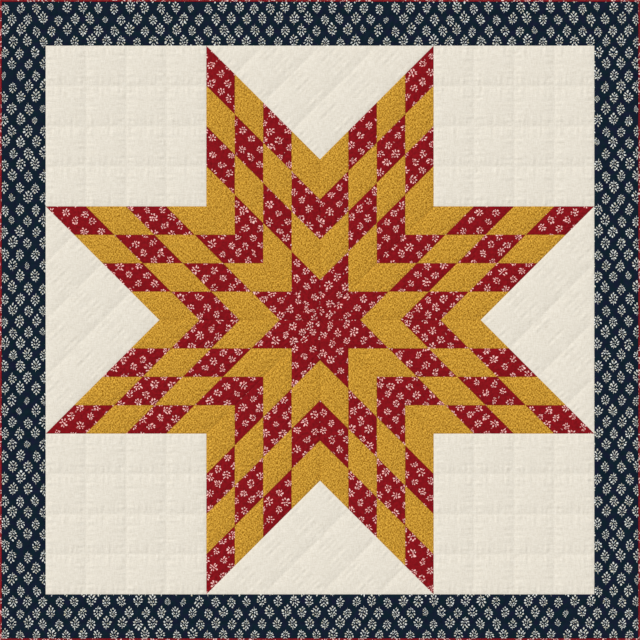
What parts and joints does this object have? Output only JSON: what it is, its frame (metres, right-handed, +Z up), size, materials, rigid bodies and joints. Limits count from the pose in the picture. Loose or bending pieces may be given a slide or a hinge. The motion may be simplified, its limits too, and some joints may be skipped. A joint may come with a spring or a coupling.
{
  "type": "star quilt blanket",
  "caption": "Flat quilted bed cover pieced as a large star of small diamonds on a plain cream ground, with a printed border and a narrow folded binding.",
  "frame": {"origin": "middle of the underside, below the centre of the star", "axes": "+Z up through the face, +Y to the head edge, which is the top of the picture, and +X to its right"},
  "size_m": [2.032, 2.032, 0.0054],
  "materials": {
    "star_patches": "woven cotton patches, mottled mustard and red with small white sprigs",
    "cream_muslin": "plain unbleached cotton muslin",
    "navy_print": "woven cotton, navy with small cream plumes",
    "red_print": "woven cotton, red with small white sprigs"
  },
  "bodies": {
    "root": {"star_point_1": "star_patches", "star_point_2": "star_patches", "star_point_3": "star_patches", "star_point_4": "star_patches", "star_point_5": "star_patches", "star_point_6": "star_patches", "star_point_7": "star_patches", "star_point_8": "star_patches", "corner_square_1": "cream_muslin", "corner_square_2": "cream_muslin", "corner_square_3": "cream_muslin", "corner_square_4": "cream_muslin", "side_triangle_1": "cream_muslin", "side_triangle_2": "cream_muslin", "side_triangle_3": "cream_muslin", "side_triangle_4": "cream_muslin", "border_strip_1": "navy_print", "border_strip_2": "navy_print", "border_strip_3": "navy_print", "border_strip_4": "navy_print", "binding_strip_1": "red_print", "binding_strip_2": "red_print", "binding_strip_3": "red_print", "binding_strip_4": "red_print"}
  },
  "joints": []
}
